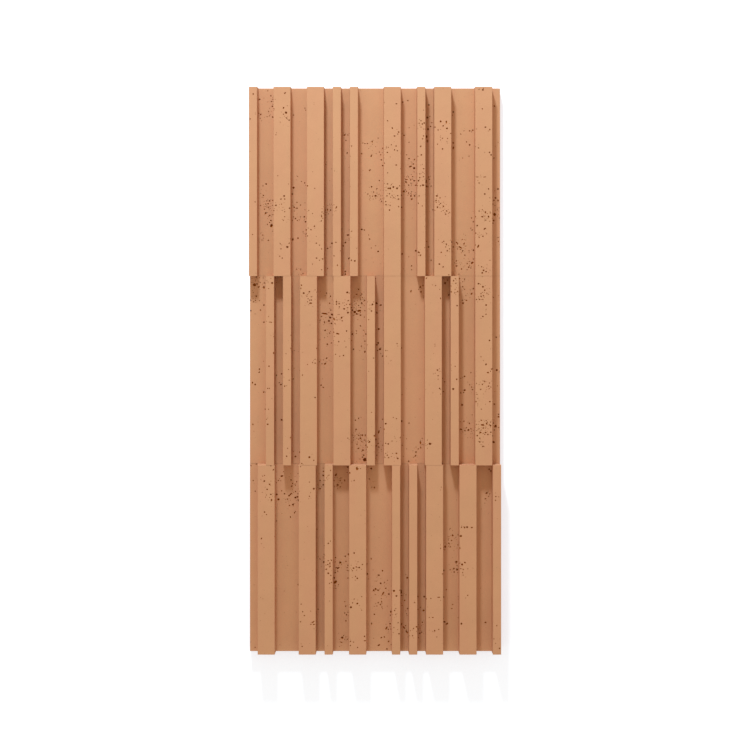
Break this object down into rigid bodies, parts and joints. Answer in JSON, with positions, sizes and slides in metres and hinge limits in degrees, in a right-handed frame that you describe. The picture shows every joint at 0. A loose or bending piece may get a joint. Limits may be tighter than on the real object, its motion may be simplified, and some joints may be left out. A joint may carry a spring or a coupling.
{
  "type": "ribbed concrete cladding panel",
  "caption": "Tall one-piece cast cladding panel with a plain flat back and a face of upright ribs in three staggered bands.",
  "frame": {"origin": "centre of the panel's width and height, on the plane of its flat back, which lies on the floor", "axes": "+X is right and +Y is up as the panel hangs on a wall and is seen from the front; +Z points out of the ribbed face"},
  "size_m": [0.4, 0.9, 0.036],
  "materials": {
    "terracotta_concrete": "matt cast concrete, coloured terracotta through the mass, with open pores"
  },
  "bodies": {
    "root": {"panel": "terracotta_concrete"}
  },
  "joints": []
}
